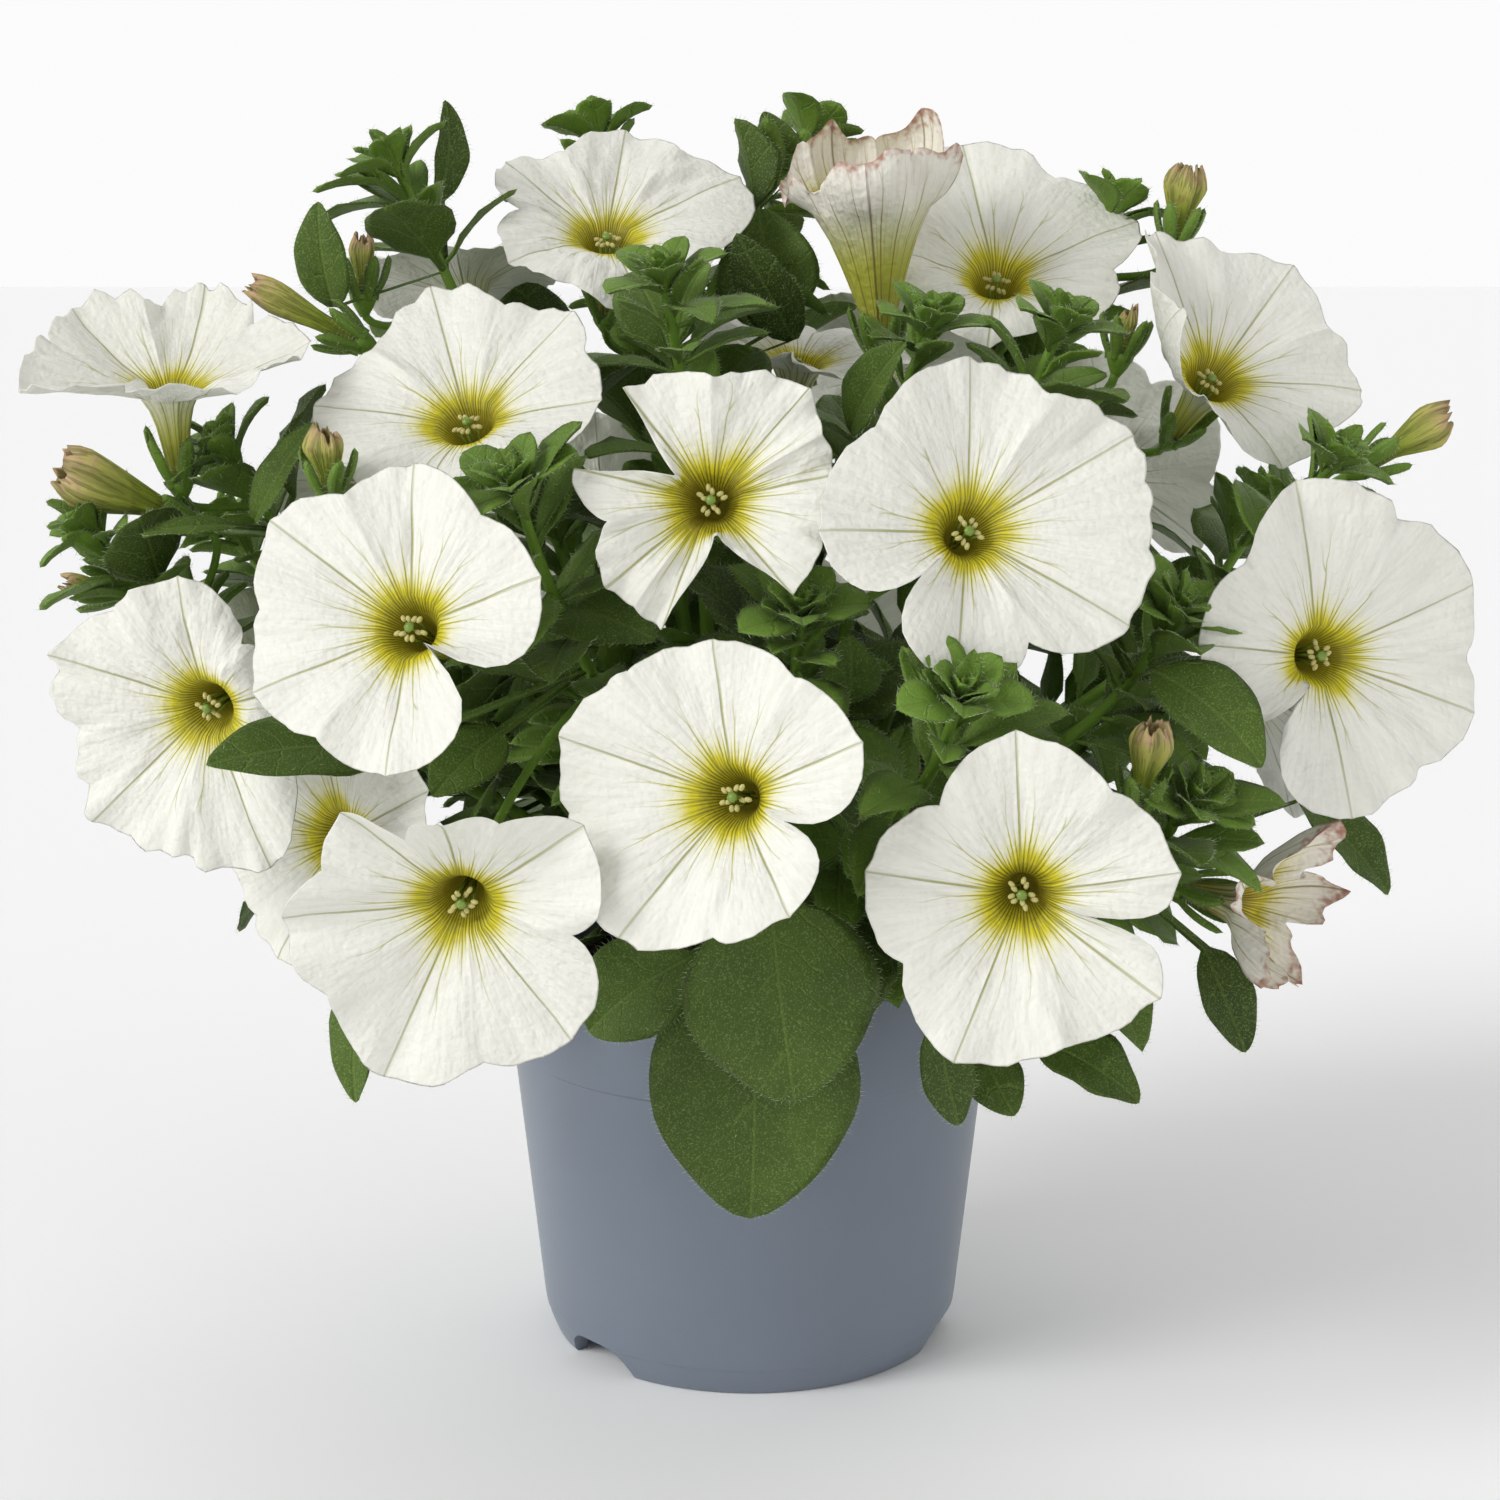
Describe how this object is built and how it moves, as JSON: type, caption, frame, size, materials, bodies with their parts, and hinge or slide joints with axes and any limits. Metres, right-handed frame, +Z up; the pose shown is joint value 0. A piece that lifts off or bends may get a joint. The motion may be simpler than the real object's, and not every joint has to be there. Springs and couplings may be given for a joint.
{
  "type": "potted petunia",
  "caption": "Bushy white petunia in a tapered plastic nursery pot: leafy shoots that carry wide trumpet flowers, fading and spent blooms, standing on a flat round foot.",
  "frame": {"origin": "middle of the plant's outline seen from above, on the surface that the pot stands on; the pot's axis runs through it to within a millimetre", "axes": "+Z up along the pot's axis; the plant's front, with the large hanging leaf, looks along -Y; +X to the right seen from the front"},
  "size_m": [0.3069, 0.2657, 0.2913],
  "materials": {
    "pot_plastic": "satin blue-grey",
    "soil_peat": "damp dark crumbs",
    "leaf_green": "soft green with short hairs",
    "petal_white": "soft white with a yellow throat",
    "fading_cream": "soft cream",
    "withered_ochre": "dull, crumpled"
  },
  "bodies": {
    "root": {"pot": "pot_plastic", "potting_soil": "soil_peat", "shoot_01": "leaf_green", "shoot_02": "leaf_green", "shoot_03": "leaf_green", "shoot_04": "leaf_green", "shoot_05": "leaf_green", "shoot_06": "leaf_green", "shoot_07": "leaf_green", "shoot_08": "leaf_green", "shoot_09": "leaf_green", "shoot_10": "leaf_green", "shoot_11": "leaf_green", "shoot_12": "leaf_green", "shoot_13": "leaf_green", "shoot_14": "leaf_green", "shoot_15": "leaf_green", "shoot_16": "leaf_green", "shoot_17": "leaf_green", "shoot_18": "leaf_green", "shoot_19": "leaf_green", "shoot_20": "leaf_green", "shoot_21": "leaf_green", "shoot_22": "leaf_green", "shoot_23": "leaf_green", "bloom_01": "petal_white", "bloom_02": "petal_white", "bloom_03": "petal_white", "bloom_04": "petal_white", "bloom_05": "petal_white", "bloom_06": "petal_white", "bloom_07": "petal_white", "bloom_08": "petal_white", "bloom_09": "petal_white", "bloom_10": "petal_white", "bloom_11": "petal_white", "bloom_12": "petal_white", "bloom_13": "petal_white", "bloom_14": "petal_white", "bloom_15": "petal_white", "bloom_16": "petal_white", "bloom_17": "petal_white", "bloom_18": "petal_white", "bloom_19": "petal_white", "bloom_20": "petal_white", "bloom_21": "petal_white", "bloom_22": "petal_white", "bloom_23": "petal_white", "fading_bloom_01": "fading_cream", "fading_bloom_02": "fading_cream", "spent_bloom_01": "withered_ochre", "spent_bloom_02": "withered_ochre", "spent_bloom_03": "withered_ochre", "spent_bloom_04": "withered_ochre", "spent_bloom_05": "withered_ochre", "spent_bloom_06": "withered_ochre", "spent_bloom_07": "withered_ochre", "spent_bloom_08": "withered_ochre", "spent_bloom_09": "withered_ochre"}
  },
  "joints": []
}
